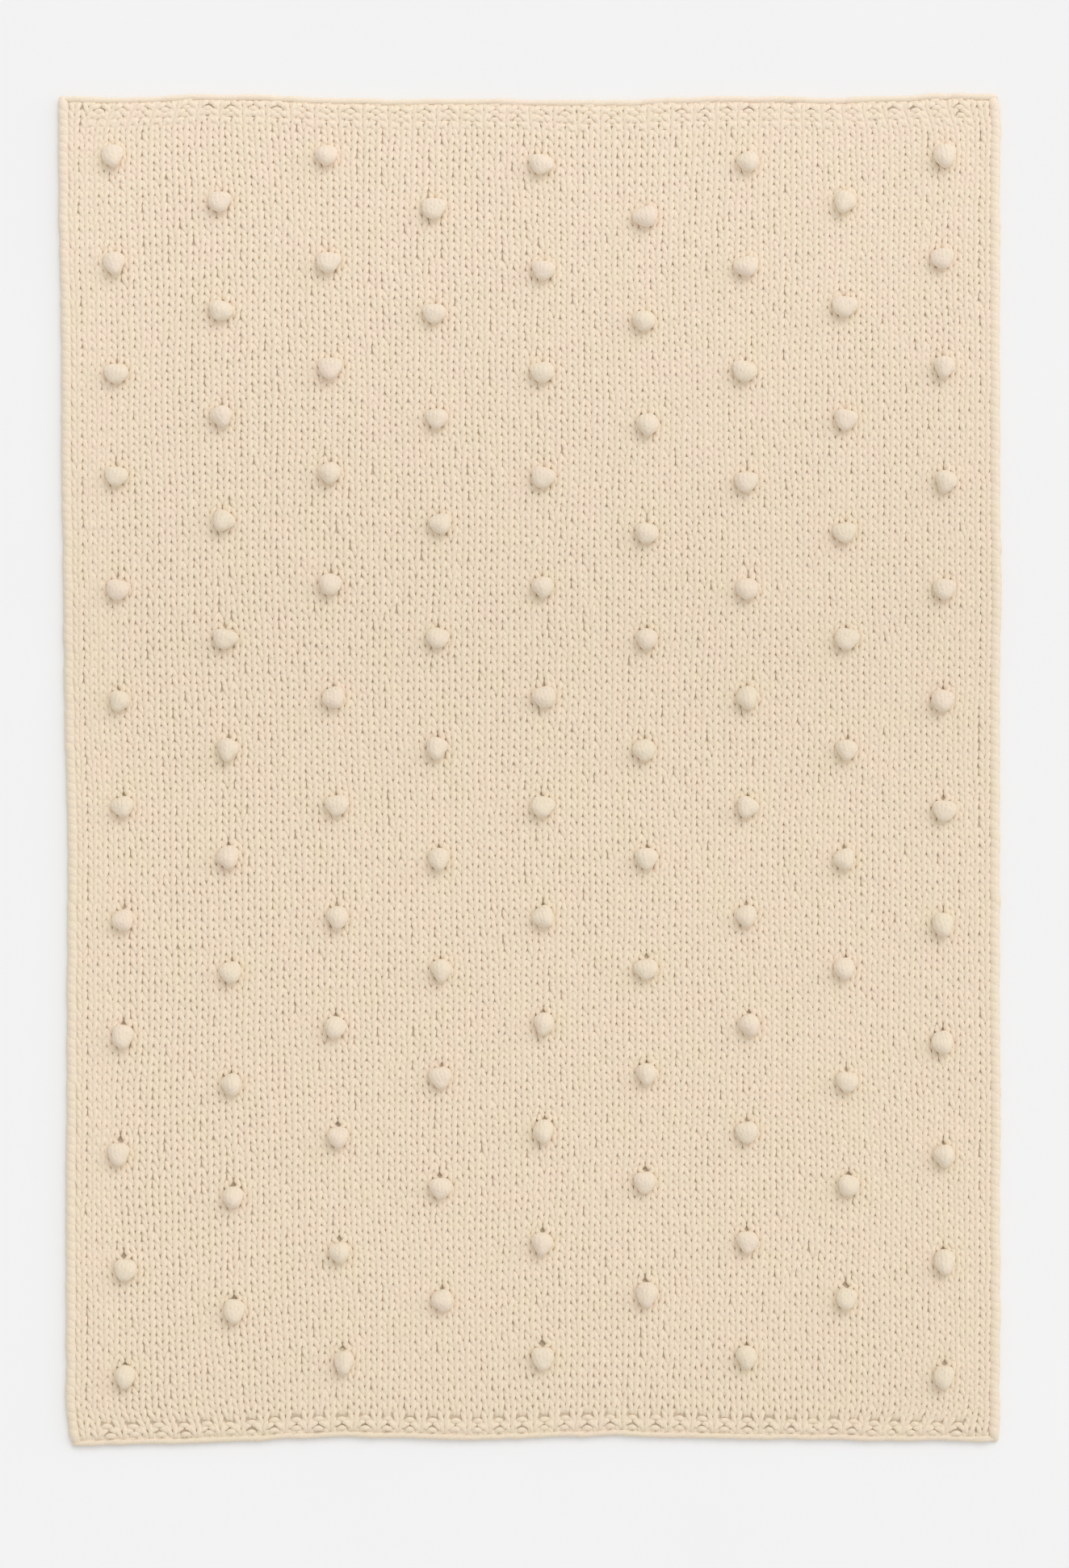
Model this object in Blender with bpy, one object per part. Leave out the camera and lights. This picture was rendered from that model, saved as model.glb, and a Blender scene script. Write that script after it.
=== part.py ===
"""Bobble-knit throw blanket, laid out flat and face up.

A chunky stocking-stitch panel, knitted from the cast-on edge (-Y) to the bind-off edge (+Y), with a
narrow rib at both ends, slipped selvedges down both sides and raised bobbles in a half-drop pattern.

The panel is cut into the courses a knitter would name. Two cuts near the middle are fold lines, so
that the upper half turns over a narrow spine of courses and lies face down on the lower half.

Metres, +Z up. X runs across the width, the throw rests on z = 0, and the origin is under its centre.
"""

import math

import bmesh
import bpy
from mathutils import Vector

# The panel
WIDTH = 1.25
LENGTH = 1.79
THICKNESS = 0.013

# The stitches, counted from 0 at the left selvedge and at the cast-on edge
WALES = 83
ROWS = 157
EDGE_WALES = 5
EDGE_WALE_PITCH = 0.0136
WALE_DRIFT = 0.03
ROW_DRIFT = 0.0175

# The borders
EDGE_ROPE = 0.0104
RIB_ROWS = 2
SELVEDGE_WALES = 2
RIB_GROOVE_DEPTH = 0.0035

# The bobbles
FIRST_BOBBLE_ROW = 8
BOBBLE_ROW_STEP = 13
HALF_DROP_ROWS = 7
BOBBLE_COURSES = 12
FIRST_BOBBLE_WALE = 6
BOBBLE_WALE_STEP = 18
BOBBLE_COURSE_ROWS = 3
BOBBLE_WIDTH = 0.032
BOBBLE_LENGTH = 0.0326
BOBBLE_PROUD = 0.017
BOBBLE_LIFT = 0.003

# The fold: the rows where its spine starts and ends
FOLD_ROWS = (75, 77)

# Pieces that touch in the real throw are kept this far apart
GAP = 0.0003

KNIT_LENGTH = LENGTH - 2 * EDGE_ROPE
FIELD_WALES = WALES - 2 * EDGE_WALES
FIELD_WIDTH = WIDTH - 2 * EDGE_WALES * EDGE_WALE_PITCH

CREAM = (0.80, 0.67, 0.51, 1.0)
CREAM_BOBBLE = (0.82, 0.69, 0.54, 1.0)
CREAM_RIB = (0.79, 0.65, 0.48, 1.0)
CREAM_EDGE = (0.77, 0.64, 0.47, 1.0)


# --- where the stitches lie ---


def gauge(share, drift):
    """Place of a share of the stitches, from -1 to 1, in a gauge that tightens steadily towards +1."""
    place = 2 * share - 1
    return place + drift * (1 - place * place)


def wale_x(wale):
    """X of a line between two wales. The outermost wales on each side are drawn in a little."""
    if wale < EDGE_WALES:
        return -WIDTH / 2 + wale * EDGE_WALE_PITCH
    if wale > WALES - EDGE_WALES:
        return WIDTH / 2 - (WALES - wale) * EDGE_WALE_PITCH
    return FIELD_WIDTH / 2 * gauge((wale - EDGE_WALES) / FIELD_WALES, WALE_DRIFT)


def row_y(row):
    """Y of a line between two rows."""
    return KNIT_LENGTH / 2 * gauge(row / ROWS, ROW_DRIFT)


def bobble_courses():
    """Each bobble course from the cast-on edge up, as the middle of its row and of its bobbles' wales."""
    courses = []
    for index in range(BOBBLE_COURSES):
        row = FIRST_BOBBLE_ROW + index * BOBBLE_ROW_STEP - 0.5
        wales = range(FIRST_BOBBLE_WALE, WALES, BOBBLE_WALE_STEP)
        courses.append((row, [wale - 0.5 for wale in wales]))
        if index < BOBBLE_COURSES - 1:
            half_step = BOBBLE_WALE_STEP // 2
            between = range(FIRST_BOBBLE_WALE + half_step, WALES - half_step, BOBBLE_WALE_STEP)
            courses.append((row + HALF_DROP_ROWS, [wale - 0.5 for wale in between]))
    return courses


# --- the fold ---

SPINE_START = Vector((0, row_y(FOLD_ROWS[0]), THICKNESS))
SPINE_END = Vector((0, row_y(FOLD_ROWS[1]), THICKNESS))
FOLD_SECTIONS = (
    ("lower", RIB_ROWS, FOLD_ROWS[0]),
    ("spine", FOLD_ROWS[0], FOLD_ROWS[1]),
    ("upper", FOLD_ROWS[1], ROWS - RIB_ROWS),
)


def hinge_below(y):
    """The hinge that a piece at this Y turns about, which is its origin. The lower half stays put."""
    if y > SPINE_END.y:
        return SPINE_END
    if y > SPINE_START.y:
        return SPINE_START
    return Vector((0, 0, 0))


# --- making solids ---


def yarn_material(name, colour):
    """A matt knitted yarn."""
    material = bpy.data.materials.new(name)
    material.use_nodes = True
    surface = material.node_tree.nodes["Principled BSDF"]
    surface.inputs["Base Color"].default_value = colour
    surface.inputs["Roughness"].default_value = 0.9
    surface.inputs["Metallic"].default_value = 0.0
    return material


def add_piece(name, mesh, colour, y, smooth=False):
    """Puts a mesh in the scene as a named piece with its own material and its origin on its hinge."""
    origin = hinge_below(y)
    for vertex in mesh.verts:
        vertex.co -= origin
    data = bpy.data.meshes.new(name)
    bmesh.ops.recalc_face_normals(mesh, faces=mesh.faces)
    mesh.to_mesh(data)
    mesh.free()
    data.materials.append(yarn_material(name + "_yarn", colour))
    if smooth:
        data.shade_smooth()
    piece = bpy.data.objects.new(name, data)
    piece.location = origin
    bpy.context.scene.collection.objects.link(piece)
    return piece


def prism(outline, start, end):
    """A closed solid: an outline of points carried along the vector from start to end."""
    mesh = bmesh.new()
    near = [mesh.verts.new(point + start) for point in outline]
    far = [mesh.verts.new(point + end) for point in outline]
    mesh.faces.new(near)
    mesh.faces.new(list(reversed(far)))
    for index in range(len(outline)):
        after = (index + 1) % len(outline)
        mesh.faces.new((near[index], far[index], far[after], near[after]))
    return mesh


def inset_rows(low, high):
    """The Y range of the rows between two row lines, kept half a gap inside them."""
    return row_y(low) + GAP / 2, row_y(high) - GAP / 2


def field_sides():
    """The X range of the field between the selvedges."""
    return wale_x(SELVEDGE_WALES) + GAP / 2, wale_x(WALES - SELVEDGE_WALES) - GAP / 2


# --- the pieces ---


def edge_rope(name, y):
    """The bound-off or cast-on chain: a round rope across the whole width."""
    radius = EDGE_ROPE / 2 - GAP / 2
    sides = 12
    outline = []
    for side in range(sides):
        angle = 2 * math.pi * (side + 0.5) / sides
        flats = radius / math.cos(math.pi / sides)
        outline.append(Vector((0, y + flats * math.cos(angle), radius + flats * math.sin(angle))))
    ends = Vector((-WIDTH / 2, 0, 0)), Vector((WIDTH / 2, 0, 0))
    add_piece(name, prism(outline, *ends), CREAM_EDGE, y, smooth=True)


def rib_outline():
    """The rib's section across the width: knitted ridges with sunken purl wales between them."""
    left, right = field_sides()
    low = THICKNESS - RIB_GROOVE_DEPTH
    outline = [Vector((left, 0, 0)), Vector((left, 0, low))]
    for wale in range(SELVEDGE_WALES + 1, WALES - SELVEDGE_WALES, 2):
        start, end = wale_x(wale), wale_x(wale + 1)
        slope = (end - start) / 6
        outline += [
            Vector((start, 0, low)),
            Vector((start + slope, 0, THICKNESS)),
            Vector((end - slope, 0, THICKNESS)),
            Vector((end, 0, low)),
        ]
    return outline + [Vector((right, 0, low)), Vector((right, 0, 0))]


def rib_band(name, low, high):
    """A band of knit one, purl one rib."""
    start, end = inset_rows(low, high)
    add_piece(name, prism(rib_outline(), Vector((0, start, 0)), Vector((0, end, 0))), CREAM_RIB, start)


def selvedge_outline(side):
    """The selvedge's section: flat towards the field and rounded on the outside."""
    inner = wale_x(SELVEDGE_WALES) - GAP / 2
    outer = -WIDTH / 2
    radius = THICKNESS / 2
    steps = 6
    outline = [Vector((inner, 0, 0))]
    for step in range(steps + 1):
        angle = math.pi * (step / steps - 0.5)
        outline.append(Vector((outer + radius * (1 - math.cos(angle)), 0, radius * (1 + math.sin(angle)))))
    outline.append(Vector((inner, 0, THICKNESS)))
    return [Vector((side * -point.x, 0, point.z)) for point in outline]


def selvedge(side_name, side, section, low, high):
    """One side's selvedge along one section of the fold."""
    start, end = inset_rows(low, high)
    shape = prism(selvedge_outline(side), Vector((0, start, 0)), Vector((0, end, 0)))
    add_piece(f"selvedge_{side_name}_{section}", shape, CREAM_EDGE, start)


def strip(name, low, high, colour):
    """A flat strip of courses across the field."""
    left, right = field_sides()
    start, end = inset_rows(low, high)
    outline = [
        Vector((left, 0, 0)),
        Vector((left, 0, THICKNESS)),
        Vector((right, 0, THICKNESS)),
        Vector((right, 0, 0)),
    ]
    return add_piece(name, prism(outline, Vector((0, start, 0)), Vector((0, end, 0))), colour, start)


def bobble_ball(x, y):
    """One bobble: a ball of stitches that stands on the face and hides its own neck."""
    mesh = bmesh.new()
    bmesh.ops.create_uvsphere(mesh, u_segments=10, v_segments=7, radius=1.0)
    height = BOBBLE_PROUD - BOBBLE_LIFT
    size = Vector((BOBBLE_WIDTH / 2, BOBBLE_LENGTH / 2, height))
    centre = Vector((x, y, THICKNESS + BOBBLE_LIFT))
    for vertex in mesh.verts:
        vertex.co = vertex.co * size + centre
    return mesh


def bobble_course(name, row, wales):
    """A strip of courses with its bobbles knitted in."""
    half = BOBBLE_COURSE_ROWS / 2
    course = strip(name, row - half, row + half, CREAM_BOBBLE)
    middle = row_y(row)
    balls = bmesh.new()
    for wale in wales:
        ball = bobble_ball(wale_x(wale), middle)
        data = bpy.data.meshes.new("ball")
        ball.to_mesh(data)
        ball.free()
        balls.from_mesh(data)
        bpy.data.meshes.remove(data)
    for vertex in balls.verts:
        vertex.co -= course.location
    union_into(course, balls)


def union_into(course, balls):
    """Joins the balls to the course they stand on, as one solid."""
    data = bpy.data.meshes.new(course.name + "_balls")
    balls.to_mesh(data)
    balls.free()
    cutter = bpy.data.objects.new(course.name + "_balls", data)
    cutter.location = course.location
    bpy.context.scene.collection.objects.link(cutter)
    joint = course.modifiers.new("bobbles", "BOOLEAN")
    joint.operation = "UNION"
    joint.solver = "EXACT"
    joint.object = cutter
    bpy.context.view_layer.update()
    depsgraph = bpy.context.evaluated_depsgraph_get()
    joined = bpy.data.meshes.new_from_object(course.evaluated_get(depsgraph))
    course.modifiers.clear()
    course.data = joined
    bpy.data.objects.remove(cutter)


def plain_spans(low, high):
    """The plain rows between two lines, cut at the fold lines that fall between them."""
    cuts = [low] + [row for row in FOLD_ROWS if low < row < high] + [high]
    return list(zip(cuts[:-1], cuts[1:]))


def field():
    """Every strip of the field: bobble courses, with plain courses between them."""
    at = RIB_ROWS
    plain = []
    for number, (row, wales) in enumerate(bobble_courses(), start=1):
        plain += plain_spans(at, row - BOBBLE_COURSE_ROWS / 2)
        bobble_course(f"bobble_course_{number:02d}", row, wales)
        at = row + BOBBLE_COURSE_ROWS / 2
    plain += plain_spans(at, ROWS - RIB_ROWS)
    number = 0
    for low, high in plain:
        if (low, high) == FOLD_ROWS:
            strip("fold_spine_courses", low, high, CREAM)
            continue
        number += 1
        strip(f"plain_courses_{number:02d}", low, high, CREAM)


def build():
    edge = LENGTH / 2 - EDGE_ROPE / 2
    edge_rope("cast_on_edge", -edge)
    edge_rope("bind_off_edge", edge)
    rib_band("bottom_rib", 0, RIB_ROWS)
    rib_band("top_rib", ROWS - RIB_ROWS, ROWS)
    for section, low, high in FOLD_SECTIONS:
        first = 0 if section == "lower" else low
        last = ROWS if section == "upper" else high
        selvedge("left", 1, section, first, last)
        selvedge("right", -1, section, first, last)
    field()


for old in list(bpy.data.objects):
    bpy.data.objects.remove(old)
build()
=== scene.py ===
import math

import bpy
import numpy as np
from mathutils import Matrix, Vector


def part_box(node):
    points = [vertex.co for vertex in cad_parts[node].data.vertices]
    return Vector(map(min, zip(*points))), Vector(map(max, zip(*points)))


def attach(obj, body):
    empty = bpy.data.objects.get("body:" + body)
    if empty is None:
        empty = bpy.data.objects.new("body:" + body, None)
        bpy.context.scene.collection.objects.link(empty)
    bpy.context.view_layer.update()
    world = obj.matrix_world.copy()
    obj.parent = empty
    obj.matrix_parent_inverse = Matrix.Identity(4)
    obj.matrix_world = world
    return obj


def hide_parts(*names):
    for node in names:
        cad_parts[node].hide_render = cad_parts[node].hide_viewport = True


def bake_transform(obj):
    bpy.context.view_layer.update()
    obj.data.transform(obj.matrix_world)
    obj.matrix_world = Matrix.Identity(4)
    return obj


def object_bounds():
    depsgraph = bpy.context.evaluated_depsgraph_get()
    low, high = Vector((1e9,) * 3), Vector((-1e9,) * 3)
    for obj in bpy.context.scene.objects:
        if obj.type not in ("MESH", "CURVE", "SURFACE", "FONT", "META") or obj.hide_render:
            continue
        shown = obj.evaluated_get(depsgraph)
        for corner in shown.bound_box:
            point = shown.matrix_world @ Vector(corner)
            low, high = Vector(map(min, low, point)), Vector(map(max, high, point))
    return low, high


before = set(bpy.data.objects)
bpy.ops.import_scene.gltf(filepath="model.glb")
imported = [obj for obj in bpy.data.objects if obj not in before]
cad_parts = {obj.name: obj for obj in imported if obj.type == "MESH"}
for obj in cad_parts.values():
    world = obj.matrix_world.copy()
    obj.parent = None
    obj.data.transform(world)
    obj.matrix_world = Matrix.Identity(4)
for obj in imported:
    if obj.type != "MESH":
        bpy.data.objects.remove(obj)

# A bobble-knit throw, made stitch by stitch: every row of the panel is one length of yarn that loops
# through the row below it, as knitting does, and every bobble is a small patch of the same loops.
# Lengths are in metres. X runs across the throw, Y from the cast-on edge to the bind-off edge, and Z up.

# The stitches, as the CAD model lays them out
WALES = 83
ROWS = 157
EDGE_WALES = 5
EDGE_WALE_PITCH = 0.0136
WALE_DRIFT = 0.03
ROW_DRIFT = 0.0175
RIB_ROWS = 2
PLAIN_EDGE_WALES = 3
FOLD_ROWS = (75, 77)
FOLD = 76
COURSES_WITH_BOBBLES = 23
BOBBLE_WALE_STEP = 18
FIRST_BOBBLE_WALE = 6
CAD_GAP = 0.0003

# The yarn and the shape of one stitch. The yarns press each other flat, and the yarn is a little fuller at
# the loops' heads than along their legs. Reach, lean and gather are shares of a stitch. Between the middle of
# a head and the next dip, the head fades out and the foot fades in over these shares of the way.
YARN_RADIUS = 0.0036
YARN_FLATNESS = 0.56
HEAD_SWELL = 0.06
LOOP_DEPTH = 0.0017
LOOP_BACK = 2.6
LOOP_REACH = 0.98
PURL_REACH = 0.74
LOOP_LEAN = 0.226
LOOP_GATHER = 0.010
HEAD_TURN = (0.10, 0.45)
FOOT_TURN = (0.55, 0.95)
SEGMENTS = 12
RIB_SEGMENTS = 18
SIDES = 8

# The rounded tips of a tube: how far they reach and how wide they are there, as shares of its radius
TIP_REACH = (0.6, 0.95)
TIP_RADIUS = (0.75, 0.05)

# The yarn's turn from one row to the next
TURN_POINTS = 4
TURN_BULGE = 0.0022
TURN_RADIUS = 0.95

# How unevenly it is knitted: lengths first, then shares
PLACE_JITTER = 0.0005
KINK_JITTER = 0.0002
DEPTH_JITTER = 0.0007
REACH_JITTER = 0.085
LEAN_JITTER = 0.05
YARN_JITTER = 0.04

# The slow waves in which the stitches wander: their sizes, their lengths, and where they are held
WANDER_X = 0.0060
WANDER_Y = 0.0070
WANDER_ENDS = 0.0070
UNEVEN_TENSION = 0.0013
WAVE_LENGTHS = (0.35, 1.0)
WANDER_LENGTH = 0.7
ENDS_LENGTH = 0.8
TENSION_LENGTH = 0.12
SIDE_REACH = 0.10
SIDE_SHARE = 0.3
END_REACH = 0.12
FOLD_REACH = (0.03, 0.15)

# The left side leans, the corners are drawn in, and a groove runs inside each side column
LEFT_LEAN = 0.013
LEAN_FADE = (0.15, 0.75)
LEAN_OUTLINE = 0.35
LEAN_OUTLINE_REACH = 0.16
CORNER_DRAW = 0.014
CORNER_LENGTH = 0.055
CORNER_OUTLINE = 0.06
DRAWN_CORNER_OUTLINE = 0.32
CORNER_RISE = 0.07
CORNER_FADE = 0.30
GROOVE_OPENING = 0.0016
GROOVE_REACH = 0.007

# Places where handling has pulled the fabric out of line: the middle, the reach and the shift of each pull.
# The first kind fades out at both ends of the throw and beside the fold. The second kind moves the outline.
FIELD_PULLS = (
    # The middle of the lower end is drawn up, and its two sides hang down
    ((0.20, -0.65), (0.45, 0.30), (0.0, 0.020)),
    ((-0.55, -0.65), (0.15, 0.30), (0.0, -0.020)),
    ((0.60, -0.55), (0.15, 0.45), (0.0, -0.025)),
    # The middle of the upper end sags, between two places that are drawn up
    ((0.10, 0.70), (0.30, 0.20), (0.0, -0.015)),
    ((-0.25, 0.45), (0.30, 0.30), (0.0, 0.010)),
    ((0.45, 0.75), (0.15, 0.25), (0.0, 0.015)),
)
EDGE_PULLS = (
    # The left side is drawn in below the fold
    ((-0.64, -0.15), (0.12, 0.60), (0.007, 0.0)),
    # The left end of the cast-on edge hangs lower. Its right end lies a little higher, but for the corner
    ((-0.52, -0.92), (0.28, 0.10), (0.0, -0.0085)),
    ((0.60, -0.92), (0.16, 0.10), (0.0, 0.004)),
    ((0.64, -0.92), (0.04, 0.05), (0.0, -0.006)),
    # The right end of the bind-off edge lies higher too, and so does its left corner
    ((0.60, 0.92), (0.14, 0.10), (0.0, 0.007)),
    ((-0.64, 0.92), (0.05, 0.06), (0.0, 0.007)),
)

# The stitches around a bobble's neck, the slit above it and the gathered foot below it
NECK_SPREAD = 0.16
NECK_REACH = 0.014
NECK_SEARCH = 3 * NECK_REACH
SLIT_ABOVE = 0.0150
SLIT_WIDTH = 0.0052
SLIT_SPREAD = 3 * SLIT_WIDTH
SLIT_LENGTH = 0.0038
SLIT_DEPTH = 0.0030
SLIT_RANGE = (0.6, 1.2)
SLIT_AT_FOLD = 0.50
SLIT_CHANGE = 0.48
SLIT_SEARCH = (0.03, 0.05)
FOOT_BELOW = 0.020
FOOT_GATHER = 0.34
FOOT_WIDTH = 0.012
FOOT_LENGTH = 0.007

# The bobbles: their loops, their ball, and how one differs from the next
BOBBLE_WALES = 3
BOBBLE_ROWS = 4
BOBBLE_SEGMENTS = 14
BOBBLE_LOOP = 0.0033
BOBBLE_LOOP_FLATNESS = 0.45
BOBBLE_LOOP_RELIEF = 0.028
BOBBLE_WRAP = (math.radians(74), math.radians(60))
BOBBLE_RADIUS = (0.0150, 0.0140, 0.0104)
BOBBLE_SLIMMER = (0.08, -0.04, 0.0)
BOBBLE_SHOULDERS = 0.28
BOBBLE_CROWN = 0.12
BOBBLE_LUMPS = 0.05
LUMPS_ACROSS = 3.2
LUMPS_ALONG = 4.1
LUMPS_SKEW = 1.5
BOBBLE_FILLING = 1.04
CORE_RINGS = 13
CORE_SIDES = 20
CORE_POLE = 0.02
BOBBLE_HANG = 0.0018
BOBBLE_RISE = 0.0016
BOBBLE_PLACE_JITTER = 0.0010
BOBBLE_ROW_JITTER = 0.03
BOBBLE_SIZES = (0.93, 1.06)
BOBBLE_TURN = 0.16
BOBBLE_TIPS = (-0.42, -0.16)

# The plump stitches of the edges
EDGE_SLANT = 0.16
EDGE_DIP = 0.0022
EDGE_TAPER = 0.24
STRAND_POINTS = 9
STRAND_REACH = 0.95
STRAND_JITTER = 0.7
STRAND_SIZES = (0.94, 1.03)
ROPE_WIDTH = 0.78
ROPE_HEIGHT = 0.92
ROPE_DIP = 0.0040
ROPE_DIP_REACH = (-0.001, 0.004)
ROPE_TUCK = 0.55
SELVEDGE_WIDTH = 1.08 * EDGE_WALE_PITCH
SELVEDGE_HEIGHT = 0.0112

# The web, a sheet between the yarns: it stands for their loose fibres, and its darker colour is painted shade
# in the holes
WEB_COLUMNS = 250
WEB_ROWS = 180
WEB_SIDE_INSET = 0.010
WEB_END_INSET = 0.006

# Colours, as the share of light that comes back
YARN_COLOUR = (0.965, 0.83, 0.661)
# The bobbles' colour is the yarn's a little darker: painted shade, evening out the extra light on their
# raised tops
SHADED_BOBBLE_COLOUR = (0.92, 0.80, 0.655)
EDGE_COLOUR = (0.96, 0.83, 0.67)
# A darker yarn colour for the web: painted shade in the holes between the stitches
WEB_SHADE_COLOUR = (0.70, 0.59, 0.46)
PINKER = (1.005, 0.985, 1.0)
YELLOWER = (0.99, 0.995, 0.975)
FLECK_SHADE = (0.89, 0.87, 0.85, 1)
SHEEN_TINT = (1.0, 0.93, 0.84, 1)
WHITE = (1, 1, 1, 1)
FLOOR_DARKEST = (0.905, 0.905, 0.905, 1)
FLOOR_PALEST = (0.915, 0.915, 0.915, 1)

# Painted light: the yarn's tone at shares of the way from the cast-on edge to the bind-off edge, palest at
# the bind-off end, as if more light fell there
LIGHT_ALONG_THROW = (
    (0.0, (0.925, 0.925, 0.90, 1)),
    (0.12, (0.945, 0.945, 0.925, 1)),
    (0.45, (0.950, 0.950, 0.930, 1)),
    (0.60, (0.935, 0.935, 0.915, 1)),
    (1.0, (1.0, 1.0, 1.0, 1)),
)

# Scales of the materials' noise, in cycles per metre
MOTTLE_SCALE = 22.0
FLECK_SCALE = 420.0
FIBRE_SCALE = 900.0
FLOOR_SCALE = 3.0

# How the panel is cut into pieces
ROWS_PER_PIECE = 12
BLEND_ROWS = 4

# The studio
FLOOR_GAP = 0.0002
YARN_CLEARANCE = 0.0004
FLOOR_SIZE = 30
SKY_STRENGTH = 0.733
CAMERA_DISTANCE = 5.8
SENSOR = 36

# The length that the picture takes in and the camera's place, as shares of the throw's length and width
FRAMED_LENGTH = 1.1682
CAMERA_OFFSET = (0.0038, -0.0117)

CAD_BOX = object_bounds()
LOW, HIGH = CAD_BOX
WIDTH = HIGH.x - LOW.x
EDGE_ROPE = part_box("cast_on_edge")[1].z + CAD_GAP
LENGTH = HIGH.y - LOW.y + CAD_GAP
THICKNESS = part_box("plain_courses_01")[1].z
KNIT_LENGTH = LENGTH - 2 * EDGE_ROPE
FIELD_WALES = WALES - 2 * EDGE_WALES
FIELD_WIDTH = WIDTH - 2 * EDGE_WALES * EDGE_WALE_PITCH
MIDDLE_Z = LOOP_DEPTH * LOOP_BACK + YARN_RADIUS * YARN_FLATNESS * (1 + HEAD_SWELL) + YARN_CLEARANCE

rng = np.random.default_rng(7)


# --- where the stitches lie ---


def gauge(share, drift):
    """Place of a share of the stitches, from -1 to 1, in a gauge that tightens steadily towards +1."""
    place = 2 * np.asarray(share, float) - 1
    return place + drift * (1 - place * place)


def wale_x(wale):
    """X of the lines between wales. The outermost wales on each side are drawn in a little."""
    wale = np.asarray(wale, float)
    left = LOW.x + wale * EDGE_WALE_PITCH
    right = HIGH.x - (WALES - wale) * EDGE_WALE_PITCH
    field = FIELD_WIDTH / 2 * gauge((wale - EDGE_WALES) / FIELD_WALES, WALE_DRIFT)
    return np.where(wale < EDGE_WALES, left, np.where(wale > WALES - EDGE_WALES, right, field))


def row_y(row):
    """Y of the lines between rows."""
    return KNIT_LENGTH / 2 * gauge(np.asarray(row, float) / ROWS, ROW_DRIFT)


def bobble_courses():
    """For each bobble course from the cast-on edge up: its CAD node, its Y and its bobbles' X."""
    courses = []
    for number in range(1, COURSES_WITH_BOBBLES + 1):
        low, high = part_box(f"bobble_course_{number:02d}")
        first = FIRST_BOBBLE_WALE if number % 2 else FIRST_BOBBLE_WALE + BOBBLE_WALE_STEP // 2
        wales = np.arange(first, WALES - first + 2, BOBBLE_WALE_STEP) - 0.5
        courses.append((f"bobble_course_{number:02d}", (low.y + high.y) / 2, wale_x(wales)))
    return courses


def slit_openings(places):
    """How wide the slit above each bobble opens: more and more towards the cast-on edge."""
    return rng.uniform(*SLIT_RANGE, len(places)) * (SLIT_AT_FOLD - SLIT_CHANGE * places[:, 1] / HIGH.y)


BOBBLE_COURSES = bobble_courses()
BOBBLE_PLACES = np.array([(x, y) for _, y, xs in BOBBLE_COURSES for x in xs])
SLIT_OPENING = slit_openings(BOBBLE_PLACES)


def smooth(value, start, end):
    """A smooth step from 0 at start to 1 at end."""
    share = np.clip((value - start) / (end - start), 0, 1)
    return share * share * (3 - 2 * share)


def make_waves(count, longest):
    """A few slow waves over the panel, for the way hand knitting wanders."""
    direction = rng.uniform(0, 2 * math.pi, count)
    length = longest * rng.uniform(*WAVE_LENGTHS, count)
    phase = rng.uniform(0, 2 * math.pi, count)
    return direction, length, phase


def wave_height(points, waves):
    """The mean of the waves at some points, between -1 and 1."""
    total = np.zeros(points.shape[:-1])
    for direction, length, phase in zip(*waves):
        along = points[..., 0] * math.cos(direction) + points[..., 1] * math.sin(direction)
        total += np.sin(2 * math.pi * along / length + phase)
    return total / len(waves[0])


WAVES_X = make_waves(6, WANDER_LENGTH)
WAVES_Y = make_waves(5, WANDER_LENGTH)
WAVES_ENDS = make_waves(3, ENDS_LENGTH)
TENSION_X = make_waves(6, TENSION_LENGTH)
TENSION_Y = make_waves(6, TENSION_LENGTH)


def settle(points):
    """Moves points of the ideal panel to where the real, hand-knitted one has them."""
    moved = points.copy()
    x, y = points[..., 0], points[..., 1]
    beside_fold = smooth(np.abs(y), *FOLD_REACH)
    near_end = smooth(np.abs(y), HIGH.y - END_REACH, HIGH.y)
    wander(moved, points, near_end)
    pull(moved, x, y, FIELD_PULLS, (1 - near_end) * beside_fold)
    pull(moved, x, y, EDGE_PULLS, 1.0)
    lean_left_side(moved, x, y)
    draw_in_corners(moved, x, y)
    open_side_grooves(moved, x)
    make_room_for_bobbles(moved, x, y)
    return moved


def wander(moved, points, near_end):
    """The slow waves. The sides hold the wales straighter, and the throw's ends have waves of their own."""
    inside = 1 - smooth(np.abs(points[..., 0]), WIDTH / 2 - SIDE_REACH, WIDTH / 2)
    moved[..., 0] += WANDER_X * wave_height(points, WAVES_X) * (SIDE_SHARE + (1 - SIDE_SHARE) * inside)
    moved[..., 1] += WANDER_Y * wave_height(points, WAVES_Y)
    moved[..., 1] += WANDER_ENDS * wave_height(points, WAVES_ENDS) * near_end
    moved[..., 0] += UNEVEN_TENSION * wave_height(points, TENSION_X)
    moved[..., 1] += UNEVEN_TENSION * wave_height(points, TENSION_Y)


def pull(moved, x, y, pulls, strength):
    """Shifts the fabric around the middle of each pull."""
    for (middle_x, middle_y), (reach_x, reach_y), (shift_x, shift_y) in pulls:
        near = np.exp(-(((x - middle_x) / reach_x) ** 2) - ((y - middle_y) / reach_y) ** 2)
        moved[..., 0] += shift_x * near * strength
        moved[..., 1] += shift_y * near * strength


def lean_left_side(moved, x, y):
    """The wales near the left side lean: outwards at the bind-off edge, inwards at the cast-on edge."""
    fade_start, fade_end = LEAN_FADE
    near_left = 1 - smooth(x, LOW.x + fade_start, LOW.x + fade_end)
    inside = LEAN_OUTLINE + (1 - LEAN_OUTLINE) * smooth(x, LOW.x, LOW.x + LEAN_OUTLINE_REACH)
    moved[..., 0] -= LEFT_LEAN * near_left * inside * y / HIGH.y


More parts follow.
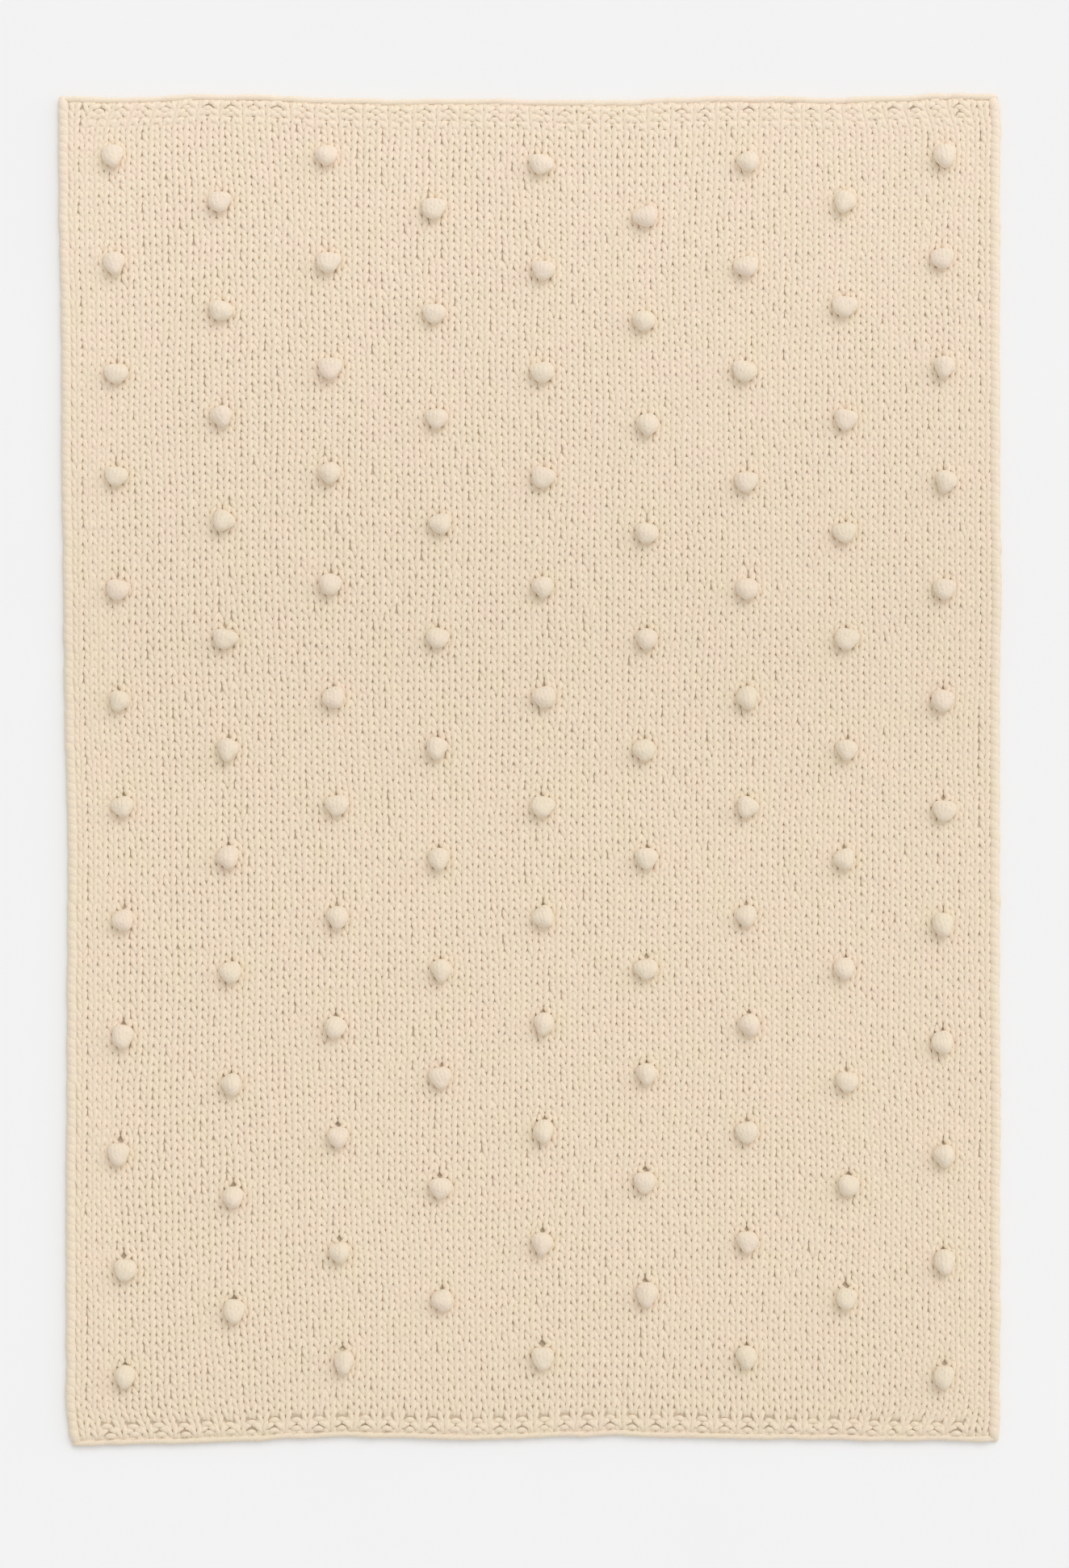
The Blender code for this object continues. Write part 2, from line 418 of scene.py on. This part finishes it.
def draw_in_corners(moved, x, y):
    """Near the corners the inner wales lean inwards. The outline clearly does so at one corner only."""
    end = smooth(np.abs(y), HIGH.y - CORNER_LENGTH, HIGH.y)
    inwards = WIDTH / 2 - np.abs(x)
    outline = np.where((x < 0) & (y < 0), DRAWN_CORNER_OUTLINE, CORNER_OUTLINE)
    reach = outline + (1 - outline) * smooth(inwards, 0.0, CORNER_RISE)
    reach *= 1 - smooth(inwards, CORNER_RISE, CORNER_FADE)
    moved[..., 0] -= np.sign(x) * CORNER_DRAW * end * reach


def open_side_grooves(moved, x):
    """The two slipped wales down each side stand a little apart from the others, with a groove between."""
    beyond = (WIDTH / 2 - np.abs(x) - 2 * EDGE_WALE_PITCH) / GROOVE_REACH
    moved[..., 0] -= np.sign(x) * GROOVE_OPENING * beyond * np.exp(-beyond * beyond)


def make_room_for_bobbles(moved, x, y):
    """A bobble's neck spreads the stitches beside it, parts those above it and gathers those below it."""
    for (bobble_x, bobble_y), opening in zip(BOBBLE_PLACES, SLIT_OPENING):
        near = (np.abs(x - bobble_x) < NECK_SEARCH) & (np.abs(y - bobble_y) < NECK_SEARCH)
        dx, dy = x[near] - bobble_x, y[near] - bobble_y
        push = NECK_SPREAD * np.exp(-(dx * dx + dy * dy) / (2 * NECK_REACH * NECK_REACH))
        foot = ((dy + FOOT_BELOW) / FOOT_LENGTH) ** 2 + (dx / FOOT_WIDTH) ** 2
        moved[..., 0][near] += dx * (push - FOOT_GATHER * np.exp(-foot))
        moved[..., 0][near] += np.sign(dx) * SLIT_WIDTH * opening * slit_share(dx, dy)
        moved[..., 1][near] += dy * push


def slit_share(dx, dy):
    """How much a point so far from a bobble's middle belongs to the slit above it, from 0 to 1."""
    along = (dy - SLIT_ABOVE) / SLIT_LENGTH
    across = dx / SLIT_SPREAD
    return np.exp(-along * along - across * across)


# --- making meshes ---


def add_mesh(name, vertices, faces, material):
    """A smooth-shaded mesh object from arrays of points and four-sided faces, pressed flat by the floor."""
    vertices = np.maximum(vertices, (-np.inf, -np.inf, FLOOR_GAP))
    mesh = bpy.data.meshes.new(name)
    mesh.vertices.add(len(vertices))
    mesh.vertices.foreach_set("co", vertices.astype(np.float32).ravel())
    mesh.loops.add(faces.size)
    mesh.loops.foreach_set("vertex_index", faces.astype(np.int32).ravel())
    mesh.polygons.add(len(faces))
    mesh.polygons.foreach_set("loop_start", np.arange(0, faces.size, 4, dtype=np.int32))
    mesh.update(calc_edges=True)
    mesh.materials.append(material)
    mesh.shade_smooth()
    piece = bpy.data.objects.new(name, mesh)
    bpy.context.scene.collection.objects.link(piece)
    return piece


def tube(path, radius, flatness=1.0, up=(0.0, 0.0, 1.0)):
    """Points and faces of one tube along a path, flattened towards up, with a rounded tip at each end."""
    path, radius = with_tips(path, radius)
    if np.ndim(up) == 2:
        up = np.pad(up, ((len(TIP_REACH), len(TIP_REACH)), (0, 0)), mode="edge")
    along = np.gradient(path, axis=0)
    along /= np.linalg.norm(along, axis=1, keepdims=True)
    across = np.cross(up, along)
    across /= np.maximum(np.linalg.norm(across, axis=1, keepdims=True), 1e-9)
    outward = np.cross(along, across)
    turn = 2 * np.pi * np.arange(SIDES) / SIDES
    ring = across[:, None] * np.cos(turn)[:, None] + outward[:, None] * np.sin(turn)[:, None] * flatness
    vertices = (path[:, None] + radius[:, None, None] * ring).reshape(-1, 3)
    return vertices, grid_faces(len(path), SIDES)


def with_tips(path, radius):
    """The path and its radius with two more points at each end, where the tube narrows to almost nothing."""
    start = path[0] - path[1]
    start /= np.linalg.norm(start)
    end = path[-1] - path[-2]
    end /= np.linalg.norm(end)
    head = [path[0] + start * radius[0] * reach for reach in reversed(TIP_REACH)]
    tail = [path[-1] + end * radius[-1] * reach for reach in TIP_REACH]
    first = [radius[0] * share for share in reversed(TIP_RADIUS)]
    last = [radius[-1] * share for share in TIP_RADIUS]
    return np.vstack([head, path, tail]), np.concatenate([first, radius, last])


def grid_faces(rings, sides):
    """The faces between rings of points, in the order that makes them face outwards."""
    ring, side = np.meshgrid(np.arange(rings - 1), np.arange(sides), indexing="ij")
    after = (side + 1) % sides
    here, there = ring * sides, (ring + 1) * sides
    return np.stack([here + side, here + after, there + after, there + side], axis=-1).reshape(-1, 4)


def join(parts):
    """Several (points, faces) as one."""
    starts = np.cumsum([0] + [len(vertices) for vertices, _ in parts[:-1]])
    vertices = np.vstack([vertices for vertices, _ in parts])
    faces = np.vstack([faces + start for (_, faces), start in zip(parts, starts)])
    return vertices, faces


# --- the yarn ---


def is_rib(row):
    return row < RIB_ROWS or row >= ROWS - RIB_ROWS


def face_of(row):
    """For each wale between the selvedge columns, 1 where the row is knitted and -1 where it is purled."""
    face = np.ones(WALES)
    if is_rib(row):
        face[PLAIN_EDGE_WALES : WALES - PLAIN_EDGE_WALES : 2] = -1
    return face[1:-1]


def loop_turn(segments):
    """The places along one stitch, from the dip on its left, over its head, to the dip on its right."""
    return -np.pi + 2 * np.pi * (np.arange(segments) + 0.5) / segments


def blended_face(face, above, turn):
    """The face of each point of each stitch. A loop's head takes that of the row above, which it holds up,
    and beside a purled wale the yarn between the two takes the purled one's."""
    above = np.where(face < 0, (face + above) / 2, above)
    left = np.minimum(face, np.concatenate([face[:1], face[:-1]]))
    right = np.minimum(face, np.concatenate([face[1:], face[-1:]]))
    neighbour = np.where(turn < 0, left[:, None], right[:, None])
    half_turns = np.abs(turn) / np.pi
    foot = smooth(half_turns, *FOOT_TURN)
    head = 1 - smooth(half_turns, *HEAD_TURN)
    return face[:, None] * (1 - foot - head) + neighbour * foot + above[:, None] * head


def uneven(spread, count):
    """A column of factors around 1, one for each stitch."""
    return 1 + spread * rng.uniform(-1, 1, (count, 1))


def row_path(row):
    """One row of stitches from left to right, as the middle line of its yarn and the yarn's radius."""
    turn = loop_turn(RIB_SEGMENTS if is_rib(row) else SEGMENTS)
    face = face_of(row)
    count = len(face)
    edges = wale_x(np.arange(1, WALES))
    middle, width = (edges[1:] + edges[:-1])[:, None] / 2, np.diff(edges)[:, None]
    pitch = row_y(row + 1) - row_y(row)
    lean = LOOP_LEAN * uneven(LEAN_JITTER, count) * np.sin(2 * turn) - LOOP_GATHER * np.sin(turn)
    x = middle + width * (turn / (2 * np.pi) + lean)
    reach = pitch * np.where(face > 0, LOOP_REACH, PURL_REACH)[:, None]
    y = row_y(row + 0.5) + reach * uneven(REACH_JITTER, count) * np.cos(turn)
    front = -np.cos(2 * turn) * blended_face(face, face_of(row + 1), turn)
    depth = LOOP_DEPTH * np.where(front < 0, LOOP_BACK * front, front)
    y, depth = tucked_under_rope(y, depth)
    points = np.stack([x, y, MIDDLE_Z + depth], axis=-1)
    points[..., :2] += PLACE_JITTER * rng.standard_normal((count, 1, 2))
    points[..., :2] += KINK_JITTER * rng.standard_normal((count, len(turn), 2))
    points[..., 2] += DEPTH_JITTER * rng.uniform(-0.5, 1, (count, 1))
    radius = YARN_RADIUS * (1 + HEAD_SWELL * np.cos(2 * turn)) * uneven(YARN_JITTER, count)
    return points.reshape(-1, 3), radius.ravel()


def tucked_under_rope(y, depth):
    """The outermost stitches end inside the rope along the end of the throw, and dip where they meet it."""
    rib_end = KNIT_LENGTH / 2
    beyond = np.abs(y) - rib_end
    dip = ROPE_DIP * smooth(beyond, *ROPE_DIP_REACH)
    y = np.sign(y) * np.minimum(np.abs(y), rib_end + ROPE_TUCK * EDGE_ROPE)
    return y, np.maximum(depth - dip, -LOOP_BACK * LOOP_DEPTH)


def turn_at_edge(end, start):
    """The yarn's short turn round the selvedge from the end of one row to the start of the next."""
    side = math.copysign(1, end[0])
    swing = np.linspace(0, 1, TURN_POINTS + 2)[1:-1, None]
    points = end * (1 - swing) + start * swing
    points[:, 0] += side * TURN_BULGE * np.sin(np.pi * swing[:, 0])
    return points


def rows_of_yarn(first, last):
    """Rows first to last as one unbroken yarn, worked to the right and back to the left in turn."""
    points, radii = [], []
    for row in range(first, last):
        path, radius = row_path(row)
        if row % 2:
            path, radius = path[::-1], radius[::-1]
        if points:
            bend = turn_at_edge(points[-1][-1], path[0])
            points.append(bend)
            radii.append(np.full(len(bend), YARN_RADIUS * TURN_RADIUS))
        points.append(path)
        radii.append(radius)
    return tube(settle(np.vstack(points)), np.concatenate(radii), YARN_FLATNESS)


# --- the bobbles ---


def bobble_patch():
    """The loops of one bobble on a flat patch from -1 to 1: its rows of (across, along, depth)."""
    turn = loop_turn(BOBBLE_SEGMENTS)
    wale = np.arange(BOBBLE_WALES)[:, None]
    across = (wale + 0.5 + turn / (2 * np.pi) + LOOP_LEAN * np.sin(2 * turn)) / BOBBLE_WALES * 2 - 1
    depth = -np.cos(2 * turn) * np.ones_like(across)
    rows = []
    for row in range(BOBBLE_ROWS):
        along = (row + 0.5 + LOOP_REACH * np.cos(turn)) / BOBBLE_ROWS * 2 - 1
        rows.append(np.stack([across, along * np.ones_like(across), depth], axis=-1).reshape(-1, 3))
    return rows


def bobble_shape(ball, size, phase):
    """Turns a ball of radius 1 into a bobble: broad shoulders, a narrower foot and a few soft lumps."""
    x, height = ball[:, 0], ball[:, 1]
    shoulders = 1 + BOBBLE_SHOULDERS * height - BOBBLE_CROWN * height * height
    waves = np.sin(LUMPS_ACROSS * x + phase[0]) + np.sin(LUMPS_ALONG * height + LUMPS_SKEW * x + phase[1])
    lumps = 1 + BOBBLE_LUMPS * waves
    return ball * size * lumps[:, None] * np.stack([shoulders, np.ones_like(x), np.ones_like(x)], axis=-1)


def onto_ball(patch):
    """Bends the flat patch over a ball of radius 1, so that its wales gather at the top and the bottom."""
    around = patch[:, 0] * BOBBLE_WRAP[0]
    along = patch[:, 1] * BOBBLE_WRAP[1]
    ball = np.stack([np.sin(around) * np.cos(along), np.sin(along), np.cos(around) * np.cos(along)], axis=-1)
    return ball * (1 + BOBBLE_LOOP_RELIEF * patch[:, 2:])


def bobble_core():
    """A ball of radius 1, for the solid middle of a bobble."""
    lift = np.pi * (np.arange(CORE_RINGS) + CORE_POLE) / (CORE_RINGS - 1 + 2 * CORE_POLE)
    turn = 2 * np.pi * np.arange(CORE_SIDES) / CORE_SIDES
    x = np.outer(np.sin(lift), np.cos(turn))
    y = np.outer(np.sin(lift), np.sin(turn))
    z = np.outer(-np.cos(lift), np.ones(CORE_SIDES))
    return np.stack([x, y, z], axis=-1).reshape(-1, 3), grid_faces(CORE_RINGS, CORE_SIDES)


def turned(points, angle, tip):
    """Points turned a little in the plane of the panel and tipped forward."""
    c, s = math.cos(angle), math.sin(angle)
    spin = np.array([[c, -s, 0], [s, c, 0], [0, 0, 1]])
    c, s = math.cos(tip), math.sin(tip)
    lean = np.array([[1, 0, 0], [0, c, -s], [0, s, c]])
    return points @ (spin @ lean).T


def bobble(x, y):
    """One bobble on the panel at (x, y). Its top lies on the panel, and it hangs towards the cast-on edge."""
    size = np.array(BOBBLE_RADIUS) * (1 - np.array(BOBBLE_SLIMMER) * (1 - y / HIGH.y))
    size *= rng.uniform(*BOBBLE_SIZES, 3)
    angle, tip = rng.normal(0, BOBBLE_TURN), rng.uniform(*BOBBLE_TIPS)
    phase = rng.uniform(0, 2 * math.pi, 2)
    parts = []
    for patch in bobble_patch():
        ball = onto_ball(patch + rng.normal(0, BOBBLE_ROW_JITTER, (1, 3)))
        path = turned(bobble_shape(ball, size, phase), angle, tip)
        outwards = turned(ball / size, angle, tip)
        parts.append(tube(path, np.full(len(path), BOBBLE_LOOP), BOBBLE_LOOP_FLATNESS, outwards))
    core, faces = bobble_core()
    parts.append((turned(bobble_shape(core, size * BOBBLE_FILLING, phase), angle, tip), faces))
    vertices, faces = join(parts)
    vertices = vertices + bobble_place(x, y)
    vertices[:, 2] = np.maximum(vertices[:, 2], MIDDLE_Z)
    return vertices, faces


def bobble_place(x, y):
    """Where the middle of a bobble lies, a little off the place that it was knitted at."""
    place = settle(np.array([[x, y, 0.0]]))[0]
    aside = rng.normal(0, BOBBLE_PLACE_JITTER)
    along = rng.normal(-BOBBLE_HANG, BOBBLE_PLACE_JITTER)
    return place + (aside, along, THICKNESS + BOBBLE_RISE)


# --- the edges ---


def edge_strand(middle, along, reach, width, height):
    """One plump stitch of an edge. It lies along the edge, slants a little across it and dips at its ends."""
    share = np.linspace(-1, 1, STRAND_POINTS)
    across = np.array([-along[1], along[0], 0.0])
    path = middle + np.outer(reach * share, along) + np.outer(EDGE_SLANT * width * share, across)
    path[:, 2] -= EDGE_DIP * share * share
    path[:, :2] += STRAND_JITTER * PLACE_JITTER * rng.standard_normal(2)
    radius = width / 2 * (1 - EDGE_TAPER * share * share) * rng.uniform(*STRAND_SIZES)
    return tube(settle(path), radius, height / width)


def rolled_end(name, side, material):
    """The cast-on or bind-off edge: a rope of overlapping stitches, one for each wale."""
    lines = wale_x(np.arange(WALES + 1))
    width, height = ROPE_WIDTH * EDGE_ROPE, ROPE_HEIGHT * EDGE_ROPE
    y = side * (LENGTH / 2 - width / 2)
    parts = []
    for left, right in zip(lines[:-1], lines[1:]):
        reach = STRAND_REACH * (right - left)
        most = WIDTH / 2 - reach - EDGE_ROPE / 2
        x = np.clip((left + right) / 2, -most, most)
        middle = np.array([x, y, EDGE_ROPE / 2])
        parts.append(edge_strand(middle, np.array([1.0, 0.0, 0.0]), reach, width, height))
    return add_mesh(name, *join(parts), material)


def selvedge_column(name, side, first, last, material):
    """The slipped stitches down one side, one for each row from first to last."""
    x = side * (WIDTH / 2 - SELVEDGE_WIDTH / 2)
    along = np.array([0.0, 1.0, 0.0])
    parts = []
    for row in range(first, last):
        reach = STRAND_REACH * (row_y(row + 1) - row_y(row))
        middle = np.array([x, row_y(row + 0.5), SELVEDGE_HEIGHT / 2])
        parts.append(edge_strand(middle, along, reach, SELVEDGE_WIDTH, SELVEDGE_HEIGHT))
    return add_mesh(name, *join(parts), material)


# --- the web between the yarns, coloured as painted shade in the holes ---


def painted_shade_web(name, low, high, material):
    """A thin sheet in the middle of the fabric, where the yarns' loose fibres close the gaps. Its dark colour
    is painted shade, seen through the holes between the stitches.
    """
    x = np.linspace(LOW.x + WEB_SIDE_INSET, HIGH.x - WEB_SIDE_INSET, WEB_COLUMNS)
    y = np.linspace(low, high, WEB_ROWS)
    middle = np.full((WEB_ROWS, WEB_COLUMNS), MIDDLE_Z)
    points = np.stack(np.meshgrid(x, y, indexing="xy") + [middle], axis=-1).reshape(-1, 3)
    sink_under_slits(points)
    across, along = np.meshgrid(np.arange(WEB_COLUMNS - 1), np.arange(WEB_ROWS - 1), indexing="xy")
    corner = (along * WEB_COLUMNS + across).ravel()
    faces = np.stack([corner, corner + 1, corner + WEB_COLUMNS + 1, corner + WEB_COLUMNS], axis=-1)
    return add_mesh(name, settle(points), faces, material)


def sink_under_slits(points):
    """The slit above each bobble is an open pocket, so the web lies deeper there."""
    for (bobble_x, bobble_y), opening in zip(BOBBLE_PLACES, SLIT_OPENING):
        near_x = np.abs(points[:, 0] - bobble_x) < SLIT_SEARCH[0]
        near = near_x & (np.abs(points[:, 1] - bobble_y) < SLIT_SEARCH[1])
        share = slit_share(points[near, 0] - bobble_x, points[near, 1] - bobble_y)
        points[near, 2] -= SLIT_DEPTH * np.minimum(opening, 1) * share


# --- materials ---


def new_material(name):
    """A node material with its node tree and its surface shader."""
    material = bpy.data.materials.new(name)
    material.use_nodes = True
    nodes = material.node_tree.nodes
    return material, nodes, material.node_tree.links, nodes["Principled BSDF"]


def noise(nodes, links, place, scale, detail=2.0, roughness=0.5):
    node = nodes.new("ShaderNodeTexNoise")
    node.inputs["Scale"].default_value = scale
    node.inputs["Detail"].default_value = detail
    node.inputs["Roughness"].default_value = roughness
    links.new(place, node.inputs["Vector"])
    return node.outputs["Fac"]


def colour_ramp(nodes, links, source, stops):
    ramp = nodes.new("ShaderNodeValToRGB")
    ramp.color_ramp.elements[0].position, ramp.color_ramp.elements[0].color = stops[0]
    ramp.color_ramp.elements[1].position, ramp.color_ramp.elements[1].color = stops[-1]
    for position, colour in stops[1:-1]:
        ramp.color_ramp.elements.new(position).color = colour
    links.new(source, ramp.inputs["Fac"])
    return ramp.outputs["Color"]


def multiplied(nodes, links, first, second):
    mix = nodes.new("ShaderNodeMix")
    mix.data_type = "RGBA"
    mix.blend_type = "MULTIPLY"
    mix.inputs["Factor"].default_value = 1.0
    links.new(first, mix.inputs["A"])
    links.new(second, mix.inputs["B"])
    return mix.outputs["Result"]


def tinted(colour, tint):
    """A colour times a tint, opaque."""
    return tuple(share * factor for share, factor in zip(colour, tint)) + (1,)


def mottled(nodes, links, place, colour):
    """The yarn's colour, a little pinker in some places and a little yellower in others."""
    cloud = noise(nodes, links, place, MOTTLE_SCALE, 3.0)
    stops = [(0.36, tinted(colour, PINKER)), (0.5, tuple(colour) + (1,)), (0.64, tinted(colour, YELLOWER))]
    return colour_ramp(nodes, links, cloud, stops)


def flecked(nodes, links, place):
    """Fine flecks, where the fibres shade each other."""
    grain = noise(nodes, links, place, FLECK_SCALE, 3.0, 0.65)
    return colour_ramp(nodes, links, grain, [(0.3, FLECK_SHADE), (0.7, WHITE)])


def painted_light_along_throw(nodes, links, place):
    """A painted light gradient: the yarn's tone changes slowly along the throw, palest at the bind-off end,
    as if more light fell there.
    """
    split = nodes.new("ShaderNodeSeparateXYZ")
    links.new(place, split.inputs["Vector"])
    along = nodes.new("ShaderNodeMapRange")
    along.inputs["From Min"].default_value = LOW.y
    along.inputs["From Max"].default_value = HIGH.y
    links.new(split.outputs["Y"], along.inputs["Value"])
    return colour_ramp(nodes, links, along.outputs["Result"], LIGHT_ALONG_THROW)


def add_fibres(nodes, links, place, surface):
    """The haze of fine fibres: a small bump, and a sheen that is nowhere quite even."""
    fibre = noise(nodes, links, place, FIBRE_SCALE, 4.0, 0.7)
    bump = nodes.new("ShaderNodeBump")
    bump.inputs["Strength"].default_value = 0.35
    bump.inputs["Distance"].default_value = 0.0006
    links.new(fibre, bump.inputs["Height"])
    links.new(bump.outputs["Normal"], surface.inputs["Normal"])
    roughness = nodes.new("ShaderNodeMapRange")
    roughness.inputs["To Min"].default_value = 0.82
    roughness.inputs["To Max"].default_value = 0.98
    links.new(fibre, roughness.inputs["Value"])
    links.new(roughness.outputs["Result"], surface.inputs["Roughness"])
    surface.inputs["Specular IOR Level"].default_value = 0.25
    surface.inputs["Sheen Weight"].default_value = 0.25
    surface.inputs["Sheen Roughness"].default_value = 0.6
    surface.inputs["Sheen Tint"].default_value = SHEEN_TINT


def yarn_material(name, colour):
    """Soft matt yarn: a slightly mottled cream with a haze of fine fibres, times a painted light gradient
    along the throw.
    """
    material, nodes, links, surface = new_material(name)
    place = nodes.new("ShaderNodeTexCoord").outputs["Object"]
    tone_and_painted_light = multiplied(nodes, links, mottled(nodes, links, place, colour), flecked(nodes, links, place))
    # The mottled, flecked colour times a painted light gradient along the throw
    tone_and_painted_light = multiplied(nodes, links, tone_and_painted_light, painted_light_along_throw(nodes, links, place))
    links.new(tone_and_painted_light, surface.inputs["Base Color"])
    add_fibres(nodes, links, place, surface)
    return material


def floor_material():
    """Plain pale card."""
    material, nodes, links, surface = new_material("studio_floor")
    place = nodes.new("ShaderNodeTexCoord").outputs["Object"]
    cloud = noise(nodes, links, place, FLOOR_SCALE)
    tone = colour_ramp(nodes, links, cloud, [(0.3, FLOOR_DARKEST), (0.7, FLOOR_PALEST)])
    links.new(tone, surface.inputs["Base Color"])
    surface.inputs["Roughness"].default_value = 0.9
    surface.inputs["Specular IOR Level"].default_value = 0.1
    return material


# --- the throw ---


def spans(first, last, most):
    """The range cut into even spans of at most so many rows."""
    count = math.ceil((last - first) / most)
    cuts = np.linspace(first, last, count + 1).round().astype(int)
    return list(zip(cuts[:-1], cuts[1:]))


def knit_rows(first, last, material):
    """One piece of the panel. A row beyond the panel's ends is there only to hold the last one up."""
    name = f"yarn_rows_{max(first, 0):03d}_{min(last, ROWS) - 1:03d}"
    return add_mesh(name, *rows_of_yarn(first, last), material)


def build_panel(yarn, rib_yarn):
    """Every row of the panel. The rows around the fold are pieces of their own, and the others ride on their
    half.
    """
    lower = [(-1, RIB_ROWS)] + spans(RIB_ROWS, FOLD - BLEND_ROWS, ROWS_PER_PIECE)
    upper = spans(FOLD + BLEND_ROWS, ROWS - RIB_ROWS, ROWS_PER_PIECE) + [(ROWS - RIB_ROWS, ROWS + 1)]
    pieces = []
    for body, bands in (("lower_half", lower), ("upper_half", upper)):
        for first, last in bands:
            rib = is_rib(first)
            piece = knit_rows(first, last, rib_yarn if rib else yarn)
            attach(piece, body)
            pieces.append((piece, body))
    below = knit_rows(FOLD - BLEND_ROWS, FOLD, yarn)
    above = knit_rows(FOLD, FOLD + BLEND_ROWS, yarn)
    bend_at_fold(below, above)
    pieces += [(below, "lower_half"), (above, "upper_half")]
    stand_for_cad()
    return pieces


def fold_points():
    """Where the panel starts to turn, the middle of the spine, and where it is fully turned."""
    rows = (FOLD_ROWS[0] - 1, FOLD, FOLD_ROWS[1] + 1)
    return [Vector((0, float(row_y(row)), THICKNESS)) for row in rows]


def bend_at_fold(below, above):
    """Bakes each piece's place into its mesh. The pieces are not bent."""
    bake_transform(below)
    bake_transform(above)


def stand_for_cad():
    """Hides each of the panel's CAD strips behind the yarn that lies where it is."""
    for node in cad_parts:
        if "courses" in node or "rib" in node:
            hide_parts(node)


def build_bobbles(material):
    """The bobbles of each course, riding with their half."""
    pieces = []
    for node, y, xs in BOBBLE_COURSES:
        piece = add_mesh(node.replace("course", "row"), *join([bobble(x, y) for x in xs]), material)
        body = "lower_half" if y < row_y(FOLD) else "upper_half"
        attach(piece, body)
        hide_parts(node)
        pieces.append((piece, body))
    return pieces


def build_ends(material):
    """The rope at each end of the throw."""
    pieces = []
    for node, side, body in (("cast_on_edge", -1, "lower_half"), ("bind_off_edge", 1, "upper_half")):
        piece = rolled_end(node.replace("edge", "rope"), side, material)
        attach(piece, body)
        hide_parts(node)
        pieces.append((piece, body))
    return pieces


def build_selvedges(material):
    """The column of slipped stitches down each side, in two long parts and two short ones at the fold."""
    pieces = []
    for side, name in ((-1, "left"), (1, "right")):
        lower = selvedge_column(f"{name}_column_lower", side, 0, FOLD - BLEND_ROWS, material)
        below = selvedge_column(f"{name}_column_below_fold", side, FOLD - BLEND_ROWS, FOLD, material)
        above = selvedge_column(f"{name}_column_above_fold", side, FOLD, FOLD + BLEND_ROWS, material)
        upper = selvedge_column(f"{name}_column_upper", side, FOLD + BLEND_ROWS, ROWS, material)
        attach(lower, "lower_half")
        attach(upper, "upper_half")
        bend_at_fold(below, above)
        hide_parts(f"selvedge_{name}_lower")
        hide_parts(f"selvedge_{name}_spine")
        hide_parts(f"selvedge_{name}_upper")
        pieces += [(lower, "lower_half"), (below, "lower_half"), (above, "upper_half"), (upper, "upper_half")]
    return pieces


def build_web(material):
    """The web of each half. Each is a sheet in a darker colour, painted shade under the holes, with the yarn,
    bobbles and edges of its half on it.
    """
    low, high = LOW.y + WEB_END_INSET, HIGH.y - WEB_END_INSET
    middle = fold_points()[1].y
    lower = painted_shade_web("fibre_web_lower", low, middle, material)
    upper = painted_shade_web("fibre_web_upper", middle, high, material)
    bend_at_fold(lower, upper)


# --- the studio ---


def add_floor():
    bpy.ops.mesh.primitive_plane_add(size=FLOOR_SIZE)
    floor = bpy.context.object
    floor.name = "studio_floor"
    floor.data.materials.append(floor_material())


def add_lights():
    """A white sky for soft light all round, a broad key light from above and a low one from the right."""
    world = bpy.data.worlds.new("studio")
    bpy.context.scene.world = world
    world.use_nodes = True
    background = world.node_tree.nodes["Background"]
    background.inputs["Color"].default_value = WHITE
    background.inputs["Strength"].default_value = SKY_STRENGTH
    add_sun("key", 0.92, 36, (-0.45, -0.85, -1.0))
    add_sun("side", 0.34, 44, (-1.0, -0.40, -0.40))


def add_sun(name, energy, angle, direction):
    """A soft sun of so many degrees across, shining in a direction."""
    sun = bpy.data.objects.new(name, bpy.data.lights.new(name, "SUN"))
    sun.data.energy = energy
    sun.data.angle = math.radians(angle)
    sun.rotation_euler = Vector(direction).to_track_quat("-Z", "Y").to_euler()
    bpy.context.scene.collection.objects.link(sun)


def add_camera():
    """Straight above the throw, a little off its centre, as it was photographed."""
    camera = bpy.data.objects.new("camera", bpy.data.cameras.new("camera"))
    camera.data.sensor_width = SENSOR
    camera.data.lens = SENSOR * CAMERA_DISTANCE / (LENGTH * FRAMED_LENGTH)
    camera.data.clip_end = 100
    camera.location = (WIDTH * CAMERA_OFFSET[0], LENGTH * CAMERA_OFFSET[1], CAMERA_DISTANCE)
    bpy.context.scene.collection.objects.link(camera)
    bpy.context.scene.camera = camera
    bpy.context.scene.view_settings.view_transform = "Standard"


def build():
    yarn = yarn_material("cream_yarn", YARN_COLOUR)
    rib_yarn = yarn_material("cream_rib_yarn", YARN_COLOUR)
    # The bobbles get a darker copy of the yarn: painted shade for their raised tops
    painted_shade_bobble_yarn = yarn_material("cream_bobble_yarn", SHADED_BOBBLE_COLOUR)
    edge_yarn = yarn_material("cream_edge_yarn", EDGE_COLOUR)
    pieces = build_panel(yarn, rib_yarn)
    pieces += build_bobbles(painted_shade_bobble_yarn)
    pieces += build_ends(edge_yarn)
    pieces += build_selvedges(edge_yarn)
    # The web's darker material is painted shade for the holes between the stitches
    build_web(yarn_material("cream_web_painted_shade", WEB_SHADE_COLOUR))


build()
add_floor()
add_lights()
add_camera()
